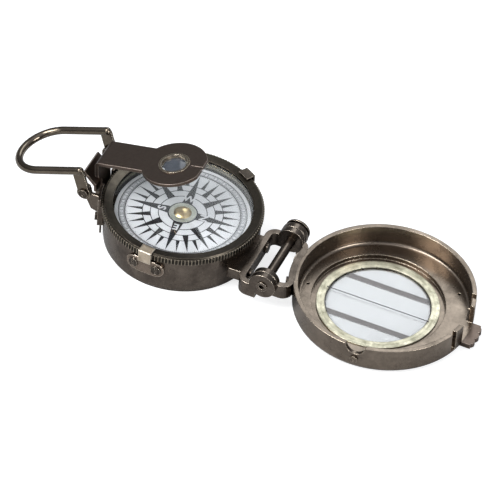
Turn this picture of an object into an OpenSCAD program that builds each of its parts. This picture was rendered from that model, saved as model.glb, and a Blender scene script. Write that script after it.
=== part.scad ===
// Pocket marching compass with a hinged window lid, a folding eyepiece arm,
// a turning knurled bezel, a pivoted card and a wire thumb loop.
// Millimetres. The card's axis is Z, the table is Z = 0, the lid hinge is on the +X side.

/* [Case] */
// outer radius of the case wall
case_r = 28.5; // [24:0.5:36]
// height of the case wall up to the bezel seam
case_h = 14.4; // [11:0.2:20]
// thickness of the case wall
case_wall = 2.3; // [1.6:0.1:3.5]
// thickness of the case floor
case_floor = 1.8; // [1.2:0.1:3]
// radius of the rounded bottom edge of the case
case_round = 2.7; // [1:0.1:4]
// radius of the long curve that bellies the side of the case
belly_r = 60; // [30:5:200]
// radius of the cover disc let into the underside
cover_r = 21; // [14:0.5:24]
// thickness of the cover disc
cover_t = 0.8; // [0.5:0.1:1.2]

/* [Bezel] */
// how far the tips of the knurl stand out beyond the case wall
knurl_out = 0.8; // [0.3:0.05:2]
// depth of the knurl grooves
knurl_d = 0.35; // [0.15:0.05:0.6]
// number of knurl teeth
knurl_n = 150; // [60:10:200]
// height of the knurled band
knurl_h = 2.1; // [1.2:0.1:3]
// height of the whole bezel ring above its seam
bezel_h = 2.7; // [2:0.1:4]
// width of the bezel from the tips of the knurl to its opening
bezel_rim = 4; // [2.5:0.1:7]
// fall of the bezel's top face from its outer edge to its opening
bezel_dish = 0.55; // [0.1:0.05:1]
// running gap between moving rings
run_gap = 0.2; // [0.1:0.05:0.4]
// thickness of the crystal
crystal_t = 1.1; // [0.8:0.1:2]

/* [Card] */
// thickness of the brass liner round the card
liner_t = 0.9; // [0.5:0.05:1.5]
// clearance between the card's edge and the liner
card_play = 0.7; // [0.3:0.05:1.5]
// thickness of the card
card_t = 0.5; // [0.3:0.1:1]
// height of the card's printed face
card_z = 12.2; // [9:0.1:16]
// radius of the domed card cap
cap_r = 3.3; // [2:0.1:5]
// radius of the washer under the cap
washer_r = 4.9; // [3:0.1:7]
// angle of the card's north point from the lid side
card_turn = 6; // [-180:1:180]
// length of each bar magnet
magnet_len = 30; // [16:1:40]

/* [Lid] */
// how far the lid wall stands outside the knurl when the lid is shut
lid_over = 3.5; // [2:0.1:6]
// thickness of the lid wall
lid_wall = 1.6; // [1:0.1:2.5]
// height of the lid as it lies open
lid_h = 10.9; // [8:0.1:14]
// depth from the lid rim to the lid floor
lid_depth = 8.0; // [6:0.1:11]
// radius of the rounded outer edge of the lid
lid_round = 3.0; // [1:0.1:5]
// shift of the window towards the hinge
window_shift = 2; // [0:0.5:4]
// distance of the recess round the window from the lid wall
recess_in = 7; // [5.5:0.1:10]
// distance of the brass retaining ring from the edge of the recess
ring_set = 1.9; // [0.5:0.1:4]
// width of the retaining ring
ring_w = 3.1; // [2:0.1:6]
// width of the gap in the lid wall opposite the hinge
gap_w = 10.8; // [8:0.1:14]
// distance of each guard bar from the middle line of the window
guard_y = 10.2; // [5:0.1:14]
// width of each guard bar
guard_w = 2.2; // [1:0.1:4]
// length of the lifting tab beyond the lid wall
tab_len = 4.6; // [3:0.1:8]

/* [Hinge] */
// distance of the hinge pin from the lid wall
pin_out = 6.8; // [6.2:0.1:12]
// height of the hinge pin
pin_z = 10.5; // [8:0.1:14]
// radius of the hinge pin between the case ears
pin_r = 1.8; // [1.2:0.1:2.4]
// how much thinner the pin is where it passes through the case ears
pin_step = 0.4; // [0.2:0.1:0.8]
// radius of the round ends of the hinge straps
ear_r = 5.0; // [3.5:0.1:7]
// place of the hinge's middle along the pin
hinge_mid = -4.2; // [-8:0.1:8]
// width of the case strap over its two ears
case_strap = 30.8; // [24:0.1:36]
// thickness of the bent straps
ear_t = 2.2; // [1:0.1:3]
// outside radius of the bends in the straps
strap_bend = 4; // [2.5:0.1:6]
// side clearance between an ear of the case and an ear of the lid
ear_gap = 0.3; // [0.1:0.05:0.6]
// space between the case wall and the web of the case strap
web_gap = 1.1; // [0.3:0.1:3]
// height of both straps along the pin
strap_h = 5.8; // [4:0.1:8]
// radius of the collar and knob on the end of the pin
knob_r = 4.7; // [3:0.1:5.5]
// running clearance round the hinge pin
pin_fit = 0.05; // [0.01:0.01:0.1]

/* [Eyepiece arm] */
// distance of the arm pivot outside the knurl
arm_out = 1.4; // [1:0.1:5]
// height of the arm pivot
arm_pz = 12.4; // [8:0.1:16]
// distance of the arm's fold outside the knurl
fold_out = 2.6; // [1.5:0.1:10]
// height of the arm's fold
fold_z = 28.2; // [22:0.1:36]
// upward tilt of the arm's strap
arm_tilt = 12.6; // [0:0.1:25]
// width of the strap
strap_w = 13.2; // [9:0.1:16]
// thickness of the arm's sheet metal
strap_t = 1.3; // [0.8:0.1:2]
// radius inside the fold of the arm
bend_in = 0.5; // [0.2:0.1:2]
// distance from the fold to the lens
lens_s = 28.0; // [20:0.5:34]
// radius of the arm's round end
eye_r = 12; // [9:0.1:14]
// clear radius of the lens
lens_r = 5.0; // [3:0.1:7]
// distance from the lens to the cut end of the arm
eye_end = 11.0; // [8:0.1:12]

// thickness of the thumb tab on the back of the arm
grip_t = 1; // [0.6:0.1:1.6]
// how far the thumb tab stands out from the arm
grip_out = 4.2; // [2:0.1:6]
// rise of the thumb tab from its bend to its edge
grip_rise = 5; // [3:0.1:8]

/* [Rear bracket] */
// half the spread of the bracket round the case, in degrees
bracket_spread = 25; // [18:1:35]
// inner face of each bracket ear from the middle
rear_ear_y = 9.8; // [8:0.1:13]
// thickness of the bracket ears
rear_ear_t = 1.3; // [0.8:0.1:2]
// distance of the loop rivets outside the knurl
rivet_out = 4.5; // [4:0.1:12]
// height of the loop rivets
rivet_z = 18.2; // [14:0.1:22]

/* [Thumb loop] */
// radius of the loop's wire
wire_r = 1.45; // [1:0.05:2.2]
// clearance between a bracket ear and the loop's flattened end
tang_gap = 0.25; // [0.1:0.05:1]
// distance from that flat end's inner face to the middle of the wire
wire_set = 0.55; // [0.3:0.05:1]
// length of the loop from its bends to the middle of its end
loop_len = 29.3; // [20:0.1:40]
// fall of the loop below level
loop_fall = 22; // [0:1:40]
// height of the loop's bends above the rivets
tang_h = 9.2; // [6:0.1:12]

/* [Clips] */
// angle of the near clip round the case
clip_near = -93.5; // [-110:0.5:-70]
// angle of the far clip round the case
clip_far = 60; // [45:0.5:75]
// distance from the clip's middle to each of its screws
clip_pitch = 4.3; // [3:0.1:6]
// width of the tab that hooks over the bezel
clip_tab_w = 5; // [3:0.1:7]

/* [Hidden] */
$fn = 64;
eps = 0.02;
knurl_r = case_r + knurl_out;
bezel_open_r = knurl_r - bezel_rim;
seam_z = case_h + run_gap;
bezel_top = seam_z + bezel_h;
neck_r = knurl_r - 1.9;
neck_top = seam_z + 0.3;
glass_z = bezel_top - bezel_dish - 0.45 - crystal_t;
glass_r = bezel_open_r + 0.9;
case_in_r = case_r - case_wall;
card_r = case_in_r - liner_t - card_play;
card_bot = card_z - card_t;
cap_h = 1.35;
cup_z = card_z + 0.95;
lid_r = knurl_r + lid_over;
pin_x = lid_r + pin_out;
arm_px = knurl_r + arm_out;
fold_x = knurl_r + fold_out;
rivet_x = knurl_r + rivet_out;
loop_w = 2 * (rear_ear_y + rear_ear_t + tang_gap + wire_set);
lid_x = 2 * pin_x;
lid_floor_z = lid_h - lid_depth;
lid_in_r = lid_r - lid_wall;
recess_r = lid_in_r - recess_in;
ring_out_r = recess_r - ring_set;
ring_in_r = ring_out_r - ring_w;
window_x = lid_x - window_shift;
slab_t = 1.0;
glass_seat = 0.45;
closed_floor = 2 * pin_z - lid_floor_z;
plate_r = case_r + 1.2;
bracket_r = knurl_r + 1.3;
bracket_top = closed_floor - 0.5;
leg_ang = atan2(fold_x - arm_px, fold_z - arm_pz);
leg_len = norm([fold_x - arm_px, fold_z - arm_pz]);
bend_n = 6;
bend_a0 = 90 + arm_tilt;
bend_a1 = 180 + leg_ang;
bend_mid = (bend_a0 + bend_a1) / 2;
bend_off = (bend_in + strap_t / 2) / cos((bend_a1 - bend_a0) / 2);
case_y0 = hinge_mid - case_strap / 2;
case_y1 = hinge_mid + case_strap / 2;
lid_y0 = case_y0 + ear_t + ear_gap;
lid_y1 = case_y1 - ear_t - ear_gap;
web_x0 = case_r + web_gap;
pin_end_r = pin_r - pin_step;
web_z1 = 2 * pin_z - lid_h - 0.5;
web_z0 = web_z1 - strap_h;
lid_web_z1 = 2 * pin_z - web_z1 - 0.4;
lid_web_z0 = lid_web_z1 - strap_h;
strap_seat = 0.3;
leg_w = gap_w - 3.4;
tang_x = 2.8;

// shared shapes

// lays a shape drawn in the XY plane into the XZ plane and gives it a thickness in Y, from y0 to y1
module side_plate(y0, y1) {
  translate([0, y1, 0])
    rotate([90, 0, 0])
      linear_extrude(height = y1 - y0)
        children();
}

// does the same thing on both sides of the middle plane
module both_sides() {
  children();
  mirror([0, 1, 0])
    children();
}

// a cylinder along Y from y0 to y1 at a place in XZ
module rod_y(x, z, r, y0, y1) {
  translate([x, y0, z])
    rotate([-90, 0, 0])
      cylinder(r = r, h = y1 - y0);
}

// a radial cylinder at an angle round the case, from r0 to r1
module rod_radial(angle, z, r, r0, r1) {
  rotate([0, 0, angle])
    translate([r0, 0, z])
      rotate([0, 90, 0])
        cylinder(r = r, h = r1 - r0);
}

module pipe(r_out, r_in, z0, z1) {
  translate([0, 0, z0])
    difference() {
      cylinder(r = r_out, h = z1 - z0);
      translate([0, 0, -1])
        cylinder(r = r_in, h = z1 - z0 + 2);
    }
}

// half profile of a drum with a rounded bottom edge
module drum_profile(r, h, f) {
  square([r - f, h]);
  translate([0, f])
    square([r, h - f]);
  translate([r - f, f])
    circle(r = f);
}

// straight bar with round ends, drawn in 2D between two points
module bar_2d(x0, y0, x1, y1, r) {
  len = norm([x1 - x0, y1 - y0]);
  translate([x0, y0])
    rotate(atan2(y1 - y0, x1 - x0)) {
      translate([0, -r])
        square([len, 2 * r]);
      circle(r = r);
      translate([len, 0])
        circle(r = r);
    }
}

// case

// outer form of the case, also used to seat what is screwed on to it
module case_form() {
  rotate_extrude($fn = 128)
    intersection() {
      drum_profile(case_r, case_h, case_round);
      translate([case_r - belly_r, case_h * 0.55])
        circle(r = belly_r, $fn = 256);
    }
}

// place of a screw through the web of the case strap, turned to look outwards from the given depth
module at_web_screw(side, depth) {
  y = hinge_mid + side * 7.5;
  translate([sqrt(case_r * case_r - y * y) - depth, y, (web_z0 + web_z1) / 2])
    rotate([0, 90, 0])
      children();
}

module case_shell() {
  color("#6e625a")
    difference() {
      union() {
        case_form();
        cylinder(r = neck_r, h = neck_top);
      }
      translate([0, 0, case_floor])
        cylinder(r = case_in_r, h = neck_top);
      translate([0, 0, -1])
        cylinder(r = cover_r, h = 1 + cover_t);
      for (a = [clip_near, clip_far])
        for (s = [-1, 1])
          rod_radial(a + s * asin(clip_pitch / case_r), case_h - 3.9, 0.8, case_r - 1.5, case_r + 1);
      for (s = [-1, 1])
        at_web_screw(s, 1.6)
          cylinder(r = 0.9, h = 10);
      for (s = [-1, 1])
        rod_radial(180 + s * (bracket_spread - 4), 8, 0.8, case_r - 1.5, case_r + 1);
    }
}

module base_cover() {
  color("#5d534c")
    translate([0, 0, 0])
      difference() {
        cylinder(r = cover_r, h = cover_t);
        translate([0, 0, -1])
          difference() {
            cylinder(r = cover_r - 1.6, h = 1.2);
            cylinder(r = cover_r - 2.4, h = 1.2);
          }
      }
}

module inner_liner() {
  color("#8c8150")
    pipe(case_in_r, case_in_r - liner_t, case_floor, glass_z - 0.35 - 1.5 * run_gap);
}

module pivot_post() {
  color("#b5964e")
    translate([0, 0, case_floor])
      rotate_extrude()
        polygon([
          [0, 0], [3.4, 0], [3.4, 0.8], [1.5, 1.4], [1.3, card_bot - case_floor - 2.4],
          [0.5, card_z - case_floor - 0.4], [0.15, cup_z - case_floor - 0.08], [0, cup_z - case_floor - 0.08]
        ]);
}

// clips that hold the bezel down

module clip_outline(angle) {
  for (s = [-1, 1])
    rod_radial(angle + s * asin(clip_pitch / case_r), case_h - 3.9, 3.0, case_r - 3, case_r + 4);
  rotate([0, 0, angle])
    translate([case_r - 3, -clip_pitch, case_h - 6.9])
      cube([7, 2 * clip_pitch, 6.4]);
}

module clip_plate(angle) {
  color("#7a6d63")
    difference() {
      intersection() {
        pipe(plate_r, case_r - 1, 0, case_h);
        clip_outline(angle);
      }
      case_form();
      for (s = [-1, 1]) {
        rod_radial(angle + s * asin(clip_pitch / case_r), case_h - 3.9, 1.9, case_r + 0.5, case_r + 4);
        rod_radial(angle + s * asin(clip_pitch / case_r), case_h - 3.9, 0.75, case_r - 2, case_r + 4);
      }
    }
}

module clip_tab(angle) {
  color("#d9c58a")
    rotate([0, 0, angle])
      intersection() {
        union() {
          pipe(knurl_r + 1.0, max(plate_r, knurl_r + run_gap), case_h - 1.5, bezel_top + 0.65);
          pipe(knurl_r + 1.0, knurl_r - 2.7, bezel_top + 0.15, bezel_top + 0.65);
        }
        translate([knurl_r - 4, -clip_tab_w / 2, 0])
          cube([8, clip_tab_w, 2 * bezel_top]);
      }
}

module clip_screws(angle) {
  color("#544a44")
    for (s = [-1, 1])
      rotate([0, 0, angle + s * asin(clip_pitch / case_r)])
        difference() {
          union() {
            translate([case_r - 1.4, 0, case_h - 3.9])
              rotate([0, 90, 0])
                cylinder(r = 0.75, h = 2.2);
            translate([case_r + 0.5, 0, case_h - 3.9])
              rotate([0, 90, 0])
                cylinder(r = 1.85, h = 1.1);
          }
          translate([case_r + 1.2, -0.3, case_h - 6])
            cube([1, 0.6, 4.2]);
        }
}

module near_clip() {
  clip_plate(clip_near);
}

module near_clip_tab() {
  clip_tab(clip_near);
}

module near_clip_screws() {
  clip_screws(clip_near);
}

module far_clip() {
  clip_plate(clip_far);
}

module far_clip_tab() {
  clip_tab(clip_far);
}

module far_clip_screws() {
  clip_screws(clip_far);
}

// lid hinge, the half that is fixed to the case

function arc_pts(x, y, r, a0, a1) = [
  for (i = [0:8])
    [x + r * cos(a0 + (a1 - a0) * i / 8), y + r * sin(a0 + (a1 - a0) * i / 8)]
];

// plan of the strap as it is bent round the case side of the hinge
function case_strap_plan(x, r) = concat(
  [[pin_x + 2 * ear_r, case_y0 + strap_bend - r]],
  arc_pts(x, case_y0 + strap_bend, r, 270, 180),
  arc_pts(x, case_y1 - strap_bend, r, 180, 90),
  [[pin_x + 2 * ear_r, case_y1 - strap_bend + r]]
);

// side view of a hinge strap: a flat band up to the ear's square shoulder, then the round end
module strap_side(x_web, x_end, z0, z1) {
  translate([min(x_web, x_end), z0])
    square([abs(x_end - x_web), z1 - z0]);
  translate([pin_x, pin_z])
    circle(r = ear_r);
}

module hinge_bracket() {
  x_bend = web_x0 + strap_bend;
  color("#7b6f66")
    difference() {
      union() {
        linear_extrude(height = 2 * pin_z)
          polygon(case_strap_plan(x_bend, strap_bend));
        translate([web_x0 - 8, hinge_mid - 10.5, web_z0 + 0.7])
          cube([8.5, 21, web_z1 - web_z0 - 1.4]);
      }
      translate([0, 0, -1])
        linear_extrude(height = 2 * pin_z + 2)
          polygon(case_strap_plan(x_bend, strap_bend - ear_t));
      side_plate(case_y0 - 1, case_y1 + 1)
        difference() {
          translate([0, -2])
            square([pin_x + 3 * ear_r, 3 * pin_z]);
          strap_side(0, pin_x - 2.4, web_z0, web_z1);
        }
      rod_y(pin_x, pin_z, pin_end_r, case_y0 - 1, case_y1 + 1);
      case_form();
      for (s = [-1, 1])
        at_web_screw(s, 1.6)
          cylinder(r = 0.9, h = 14);
    }
}

module hinge_screws() {
  color("#544a44")
    for (s = [-1, 1])
      difference() {
        union() {
          intersection() {
            at_web_screw(s, 1.3)
              cylinder(r = 0.85, h = 14);
            translate([0, -case_r, 0])
              cube([web_x0 + ear_t + 0.4, 2 * case_r, case_h]);
          }
          translate([web_x0 + ear_t, hinge_mid + s * 7.5, (web_z0 + web_z1) / 2])
            rotate([0, 90, 0])
              cylinder(r = 1.9, h = 0.9);
        }
        translate([web_x0 + ear_t + 0.5, hinge_mid + s * 7.5 - 3, (web_z0 + web_z1) / 2 - 0.3])
          cube([1, 6, 0.6]);
      }
}

// grooved collar between the far ear and the knob

module hinge_collar() {
  color("#8a7d72")
    difference() {
      rod_y(pin_x, pin_z, knob_r - 0.6, case_y1, case_y1 + 1.3);
      rod_y(pin_x, pin_z, pin_end_r, case_y1 - 1, case_y1 + 3);
      difference() {
        rod_y(pin_x, pin_z, knob_r + 1, case_y1 + 0.35, case_y1 + 0.6);
        rod_y(pin_x, pin_z, knob_r - 0.9, case_y1, case_y1 + 1);
      }
    }
}

module hinge_pin() {
  color("#8f857b")
    difference() {
      union() {
        rod_y(pin_x, pin_z, pin_end_r, case_y0 - 0.5, case_y1 + 2.6);
        rod_y(pin_x, pin_z, pin_r, case_y0 + ear_t, case_y1 - ear_t);
        rod_y(pin_x, pin_z, pin_end_r + 0.6, case_y0 - 0.5, case_y0);
      }
      rod_y(pin_x, pin_z, 1.0, case_y0 - 1, case_y0 + 1.4);
    }
}

module hinge_knob() {
  color("#8a7d72")
    difference() {
      translate([pin_x, case_y1 + 1.3, pin_z])
        rotate([-90, 0, 0])
          rotate_extrude()
            union() {
              square([knob_r - 1.1, 1.2]);
              intersection() {
                translate([0, 2.1 - 11])
                  circle(r = 11, $fn = 96);
                translate([0, 0.35])
                  square([knob_r, 6]);
              }
            }
      rod_y(pin_x, pin_z, pin_end_r, case_y1 + 1, case_y1 + 2.6);
    }
}

// rear bracket, with the pivots of the eyepiece arm and of the thumb loop

module rear_ear_2d() {
  polygon([
    [-(plate_r - 3.4), 9.4], [-(rivet_x - 2.6), 10.8], [-(rivet_x - 0.4), rivet_z - 3.0],
    [-(rivet_x + 2.9), rivet_z - 0.4], [-(rivet_x + 2.9), rivet_z + 1.5], [-(rivet_x + 0.6), rivet_z + 3.2],
    [-(rivet_x - 1.4), rivet_z + 2.6], [-(lid_r - 1.4), bracket_top], [-(plate_r - 3.4), bracket_top]
  ]);
}

module rear_bracket() {
  color("#756a61")
    difference() {
      union() {
        intersection() {
          difference() {
            pipe(bracket_r, case_r - 1, 5.4, bracket_top);
            translate([0, 0, case_h - 0.1])
              cylinder(r = knurl_r + 0.3, h = 10);
          }
          rotate([0, 0, 180])
            linear_extrude(height = 40)
              polygon([
                [0, 0], [60, -60 * tan(bracket_spread)], [60, 60 * tan(bracket_spread)]
              ]);
        }
        both_sides()
          side_plate(rear_ear_y, rear_ear_y + rear_ear_t)
            difference() {
              rear_ear_2d();
              translate([-rivet_x, rivet_z])
                circle(r = 1.2);
            }
        for (s = [-1, 1])
          side_plate(s * (leg_w / 2 + 0.75) - 0.5, s * (leg_w / 2 + 0.75) + 0.5)
            difference() {
              union() {
                translate([-arm_px, arm_pz])
                  circle(r = 1.7);
                translate([-arm_px, arm_pz - 1.7])
                  square([2.4, 3.4]);
              }
              translate([-arm_px, arm_pz])
                circle(r = 0.8);
            }
      }
      // window in the plate that lets the arm's knuckle in
      translate([-bracket_r - 1, -leg_w / 2 - 0.25, arm_pz - 2.2])
        cube([4, leg_w + 0.5, 12]);
      // the ears and the plate stay outside the case and the bezel
      translate([0, 0, case_h - 0.1])
        cylinder(r = knurl_r + 0.3, h = 10);
      case_form();
      rod_y(-arm_px, arm_pz, 0.8, -6, 6);
      for (s = [-1, 1])
        rod_radial(180 + s * (bracket_spread - 4), 8, 0.75, case_r - 1.5, case_r + 5);
    }
}

module rear_screws() {
  color("#544a44")
    for (s = [-1, 1])
      rotate([0, 0, 180 + s * (bracket_spread - 4)])
        difference() {
          union() {
            translate([case_r - 1.4, 0, 8])
              rotate([0, 90, 0])
                cylinder(r = 0.75, h = 3.6);
            translate([bracket_r, 0, 8])
              rotate([0, 90, 0])
                cylinder(r = 1.5, h = 0.9);
          }
          translate([bracket_r + 0.5, -0.25, 6])
            cube([1, 0.5, 4]);
        }
}

module leaf_spring() {
  color("#4f4640")
    for (s = [-1, 1])
      intersection() {
        pipe(case_r + 1.1, case_r + 0.4, 1.6, 5.4);
        rotate([0, 0, 180 + s * (bracket_spread - 2)])
          translate([case_r - 2, -0.9, 0])
            cube([5, 1.8, 8]);
      }
}

module arm_pin() {
  color("#8f857b")
    rod_y(-arm_px, arm_pz, 0.8, -leg_w / 2 - 1.25, leg_w / 2 + 1.25);
}

module loop_rivets() {
  color("#a2968a")
    both_sides()
      difference() {
        union() {
          rod_y(-rivet_x, rivet_z, 1.2, rear_ear_y - 0.5, rear_ear_y + rear_ear_t + 1.9);
          rod_y(-rivet_x, rivet_z, 1.9, rear_ear_y - 0.5, rear_ear_y);
          rod_y(-rivet_x, rivet_z, 1.8, rear_ear_y + rear_ear_t + 1.6, rear_ear_y + rear_ear_t + 2.2);
        }
        rod_y(-rivet_x, rivet_z, 0.6, rear_ear_y + rear_ear_t + 1.4, rear_ear_y + rear_ear_t + 3);
      }
}

// turning bezel

function knurl_pts() = [
  for (i = [0 : 2 * knurl_n - 1])
    let (r = i % 2 == 0 ? knurl_r : knurl_r - knurl_d, a = i * 180 / knurl_n)
      [r * cos(a), r * sin(a)]
];

module bezel_ring() {
  color("#5b5049")
    difference() {
      union() {
        translate([0, 0, seam_z])
          linear_extrude(height = knurl_h)
            polygon(knurl_pts());
        translate([0, 0, seam_z + knurl_h])
          rotate_extrude($fn = 128)
            polygon([
              [0, 0], [knurl_r - knurl_d - 0.12, 0], [knurl_r - 0.85, bezel_h - knurl_h],
              [bezel_open_r, bezel_h - knurl_h - bezel_dish], [0, bezel_h - knurl_h - bezel_dish]
            ]);
      }
      translate([0, 0, -1])
        cylinder(r = bezel_open_r, h = 40, $fn = 128);
      translate([0, 0, seam_z - 1])
        cylinder(r = glass_r, h = glass_z + crystal_t - seam_z + 1, $fn = 128);
      translate([0, 0, seam_z - 1])
        cylinder(r = neck_r + pin_fit, h = 1 + neck_top - seam_z + run_gap, $fn = 128);
    }
}

module crystal() {
  color("#cfe0e4", 0.3)
    translate([0, 0, glass_z])
      cylinder(r = glass_r, h = crystal_t, $fn = 128);
}

module crystal_seat() {
  color("#8c8150")
    pipe(glass_r - 1.5 * run_gap, bezel_open_r - 0.3, glass_z - 0.35, glass_z);
}

// card

module card() {
  color("#e6e7e3")
    pipe(card_r, 1.7, card_bot, card_z);
}

module card_hub() {
  color("#b5964e")
    difference() {
      translate([0, 0, card_bot - 0.9])
        cylinder(r = 3.0, h = 0.9);
      translate([0, 0, card_bot - 2])
        cylinder(r = 1.7, h = 4);
    }
}

module card_magnets() {
  color("#4a4d52")
    rotate([0, 0, card_turn])
      for (s = [-1, 1])
        translate([-magnet_len / 2, s * 4.6 - 0.9, card_bot - 1.5])
          cube([magnet_len, 1.8, 1.5]);
}

module card_washer() {
  color("#cfcdbd")
    pipe(washer_r, 1.7, card_z, card_z + 0.25);
}

module card_cap() {
  color("#c9a44f")
    difference() {
      translate([0, 0, card_z + 0.25])
        intersection() {
          translate([0, 0, cap_h - 4.7])
            sphere(r = 4.7, $fn = 96);
          cylinder(r = cap_r, h = cap_h);
        }
      translate([0, 0, card_z - 1])
        cylinder(r = 1.7, h = cup_z - card_z + 1);
    }
}

// lid

// outer form of the lid, also used to seat what is fixed on its wall
module lid_form() {
  translate([lid_x, 0, 0])
    rotate_extrude($fn = 128)
      drum_profile(lid_r, lid_h, lid_round);
}

module lid_shell() {
  color("#796d64")
    difference() {
      translate([lid_x, 0, 0])
        difference() {
          rotate_extrude($fn = 128)
            difference() {
              drum_profile(lid_r, lid_h, lid_round);
              translate([0, lid_floor_z])
                drum_profile(lid_in_r, lid_h, 1.2);
            }
          // wall gap opposite the hinge
          translate([lid_in_r - 4, -gap_w / 2, lid_floor_z])
            cube([10, gap_w, lid_h]);
          // slots that pass over the rear bracket's ears
          for (s = [-1, 1])
            translate([lid_in_r - 7.2, s * (rear_ear_y + rear_ear_t / 2) - rear_ear_t / 2 - 0.45, lid_floor_z])
              cube([12, rear_ear_t + 0.9, lid_h]);
          // notch above the near clip
          rotate([0, 0, 180 - clip_near])
            translate([lid_in_r - 3, 0, lid_h])
              rotate([0, 90, 0])
                cylinder(r = 3.6, h = 8);
        }
      translate([window_x, 0, slab_t])
        cylinder(r = recess_r, h = 10, $fn = 128);
      translate([window_x, 0, glass_seat])
        cylinder(r = ring_in_r + 0.8, h = 10, $fn = 128);
      translate([window_x, 0, -1])
        cylinder(r = ring_in_r - 0.5, h = 10, $fn = 128);
      // two small holes at the foot of the wall
      translate([lid_x, 0, 0]) {
        rotate([0, 0, 37])
          translate([lid_in_r - 3, 0, -1])
            cylinder(r = 0.55, h = 8);
        rotate([0, 0, 186])
          translate([lid_in_r - 3, 0, -1])
            cylinder(r = 0.55, h = 8);
      }
    }
}

module lid_tab() {
  color("#6f645b")
    difference() {
      union() {
        translate([lid_x + lid_r - 2.2, -gap_w / 2, 0.9])
          cube([tab_len + 0.4, gap_w, lid_floor_z - 0.9]);
        for (k = [-1, 0, 1])
          translate([lid_x + lid_r + tab_len - 2.6, k * gap_w / 3.4, 0.9])
            cylinder(r = 2.0 - 0.3 * abs(k), h = lid_floor_z - 0.9);
      }
      lid_form();
    }
}

// plan of the lid strap, whose web is rolled to the lid wall: bends of radius r, web at distance d

function lid_bend_x(y) = lid_x - sqrt(pow(lid_r + strap_bend - strap_seat, 2) - y * y);

function lid_bend_a(y) = atan2(-y, lid_x - lid_bend_x(y));

function lid_strap_plan(r, d) = let(ya = lid_y0 + strap_bend, yb = lid_y1 - strap_bend) concat(
  [[pin_x - 2 * ear_r, lid_y0 + strap_bend - r]],
  arc_pts(lid_bend_x(ya), ya, r, -90, lid_bend_a(ya)),
  arc_pts(lid_x, 0, d, 180 + lid_bend_a(ya), 180 + lid_bend_a(yb)),
  arc_pts(lid_bend_x(yb), yb, r, lid_bend_a(yb), 90),
  [[pin_x - 2 * ear_r, lid_y1 - strap_bend + r]]
);

module on_lid_wall(y) {
  translate([lid_x, 0, (lid_web_z0 + lid_web_z1) / 2])
    rotate([0, 0, 180 - asin(y / lid_r)])
      rotate([0, 90, 0])
        children();
}

lid_web_r = lid_r + ear_t - strap_seat;

module lid_bracket() {
  color("#7b6f66")
    difference() {
      linear_extrude(height = 2 * pin_z)
        polygon(lid_strap_plan(strap_bend, lid_r - 0.6));
      translate([0, 0, -1])
        linear_extrude(height = 2 * pin_z + 2)
          polygon(lid_strap_plan(strap_bend - ear_t, lid_web_r));
      side_plate(lid_y0 - 1, lid_y1 + 1)
        difference() {
          translate([pin_x - 3 * ear_r, -2])
            square([9 * ear_r, 3 * pin_z]);
          strap_side(pin_x + 2.4, lid_x, lid_web_z0, lid_web_z1);
        }
      rod_y(pin_x, pin_z, pin_r + pin_fit, lid_y0 - 1, lid_y1 + 1);
      lid_form();
      for (s = [-1, 1])
        on_lid_wall(hinge_mid + s * 5.5)
          translate([0, 0, lid_r - 1.2])
            cylinder(r = 0.8, h = 4.4);
    }
}

module lid_screws() {
  color("#544a44")
    for (s = [-1, 1])
      on_lid_wall(hinge_mid + s * 5.5)
        difference() {
          union() {
            translate([0, 0, lid_r + 0.05])
              cylinder(r = 0.75, h = ear_t);
            translate([0, 0, lid_web_r])
              cylinder(r = 1.6, h = 0.8);
          }
          translate([-3, -0.25, lid_web_r + 0.45])
            cube([6, 0.5, 0.9]);
        }
}

module window_ring() {
  color("#c8bf96")
    translate([window_x, 0, 0])
      pipe(ring_out_r, ring_in_r, slab_t, slab_t + 0.6);
}

module window_glass() {
  color("#cfe0e4", 0.3)
    translate([window_x, 0, glass_seat])
      cylinder(r = ring_in_r + 0.8, h = slab_t - glass_seat, $fn = 128);
}

module hair_wire() {
  color("#3b3836")
    translate([window_x - ring_in_r - 0.6, -0.1, slab_t + 0.6])
      cube([2 * ring_in_r + 1.2, 0.2, 0.2]);
}

module guard_bars() {
  half = sqrt(pow(ring_in_r - 0.5, 2) - pow(guard_y - guard_w / 2, 2));
  color("#756a61")
    intersection() {
      for (s = [-1, 1])
        translate([window_x - half, s * guard_y - guard_w / 2, 0])
          cube([2 * half, guard_w, glass_seat]);
      translate([window_x, 0, -1])
        cylinder(r = ring_in_r - 0.5, h = 4, $fn = 128);
    }
}

module notch_stud() {
  color("#544a44")
    difference() {
      translate([lid_x, 0, 0])
        rotate([0, 0, 180 - clip_near])
          translate([lid_r - 0.6, 0, lid_h - 6])
            rotate([0, 90, 0])
              difference() {
                cylinder(r = 1.4, h = 1.3);
                translate([-3, -0.2, 1.0])
                  cube([6, 0.4, 1]);
              }
      lid_form();
    }
}

// eyepiece arm

// places strap shapes: drawn from the fold along +X, lifted by the tilt
module on_strap() {
  translate([-fold_x, 0, fold_z])
    rotate([0, -arm_tilt, 0])
      children();
}

// side view of the bent strip: strap points by distance from the fold, leg points from the pin
function strap_pt(s, h) = [
  -fold_x + s * cos(arm_tilt) - h * sin(arm_tilt),
  fold_z + s * sin(arm_tilt) + h * cos(arm_tilt)
];
function leg_pt(q, h) = [
  -arm_px - q * sin(leg_ang) - h * cos(leg_ang),
  arm_pz + q * cos(leg_ang) - h * sin(leg_ang)
];
function bend_pt(r, a) = [
  -fold_x - bend_off * cos(bend_mid) + r * cos(a),
  fold_z - bend_off * sin(bend_mid) + r * sin(a)
];

// plan outline of the strap and its round eye plate
module arm_outline() {
  translate([-2 * lens_s, -strap_w / 2])
    square([3 * lens_s, strap_w]);
  intersection() {
    translate([lens_s, 0])
      circle(r = eye_r, $fn = 96);
    translate([lens_s - 20, -20])
      square([20 + eye_end, 40]);
  }
}

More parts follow.
